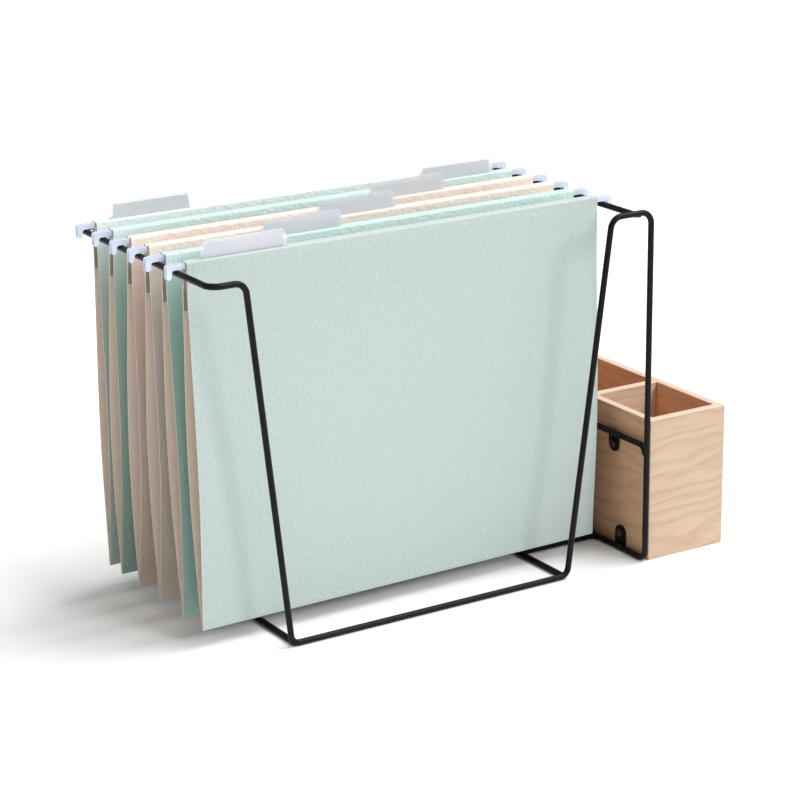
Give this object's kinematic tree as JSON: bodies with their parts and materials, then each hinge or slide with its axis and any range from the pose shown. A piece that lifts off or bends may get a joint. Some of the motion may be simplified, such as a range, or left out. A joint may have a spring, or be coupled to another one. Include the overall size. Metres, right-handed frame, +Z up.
{
  "type": "desktop file sorter",
  "caption": "Bent wire desk frame with two rails for hanging file folders, a bracket and post at one side, and an open wooden box divided for pens.",
  "frame": {"origin": "on the desk, at the centre of the whole sorter's footprint", "axes": "+X along the folders towards the pen box, +Y from the front frame to the rear frame along the rails, +Z up"},
  "size_m": [0.3956, 0.1786, 0.2554],
  "materials": {
    "black_wire": "satin",
    "screw_steel": "satin",
    "pine": "matte",
    "coated_hook": "satin",
    "card_mint": "matte",
    "card_teal": "matte",
    "card_blush": "matte",
    "card_grey": "matte",
    "clear_plastic": "gloss",
    "label_paper": "matte"
  },
  "bodies": {
    "frame": {"front_frame_wire": "black_wire", "rear_frame_wire": "black_wire", "left_rail": "black_wire", "right_rail": "black_wire", "box_post_wire": "black_wire", "left_floor_wire": "black_wire", "right_floor_wire": "black_wire", "box_bracket_wire": "black_wire", "upper_screw_tab": "black_wire", "lower_screw_tab": "black_wire", "upper_screw": "screw_steel", "lower_screw": "screw_steel", "box_front_panel": "pine", "box_rear_panel": "pine", "box_frame_side": "pine", "box_outer_side": "pine", "box_bottom": "pine", "box_divider": "pine"},
    "folder_1": {"folder_1_jacket": "card_mint", "folder_1_front_rod": "coated_hook", "folder_1_rear_rod": "coated_hook", "folder_1_index_tab": "clear_plastic", "folder_1_label": "label_paper"},
    "folder_2": {"folder_2_jacket": "card_teal", "folder_2_front_rod": "coated_hook", "folder_2_rear_rod": "coated_hook", "folder_2_index_tab": "clear_plastic", "folder_2_label": "label_paper"},
    "folder_3": {"folder_3_jacket": "card_blush", "folder_3_front_rod": "coated_hook", "folder_3_rear_rod": "coated_hook", "folder_3_index_tab": "clear_plastic", "folder_3_label": "label_paper"},
    "folder_4": {"folder_4_jacket": "card_blush", "folder_4_front_rod": "coated_hook", "folder_4_rear_rod": "coated_hook", "folder_4_index_tab": "clear_plastic", "folder_4_label": "label_paper"},
    "folder_5": {"folder_5_jacket": "card_teal", "folder_5_front_rod": "coated_hook", "folder_5_rear_rod": "coated_hook", "folder_5_index_tab": "clear_plastic", "folder_5_label": "label_paper"},
    "folder_6": {"folder_6_jacket": "card_grey", "folder_6_front_rod": "coated_hook", "folder_6_rear_rod": "coated_hook", "folder_6_index_tab": "clear_plastic", "folder_6_label": "label_paper"}
  },
  "joints": [
    {"name": "folder_1_slide", "type": "slide", "parent": "frame", "child": "folder_1", "axis": [0, 1, 0], "range_m": [-0.024, 0.009]},
    {"name": "folder_2_slide", "type": "slide", "parent": "frame", "child": "folder_2", "axis": [0, 1, 0], "range_m": [-0.009, 0.0085]},
    {"name": "folder_3_slide", "type": "slide", "parent": "frame", "child": "folder_3", "axis": [0, 1, 0], "range_m": [-0.0085, 0.009]},
    {"name": "folder_4_slide", "type": "slide", "parent": "frame", "child": "folder_4", "axis": [0, 1, 0], "range_m": [-0.009, 0.0095]},
    {"name": "folder_5_slide", "type": "slide", "parent": "frame", "child": "folder_5", "axis": [0, 1, 0], "range_m": [-0.0095, 0.0045]},
    {"name": "folder_6_slide", "type": "slide", "parent": "frame", "child": "folder_6", "axis": [0, 1, 0], "range_m": [-0.0045, 0.0005]}
  ]
}
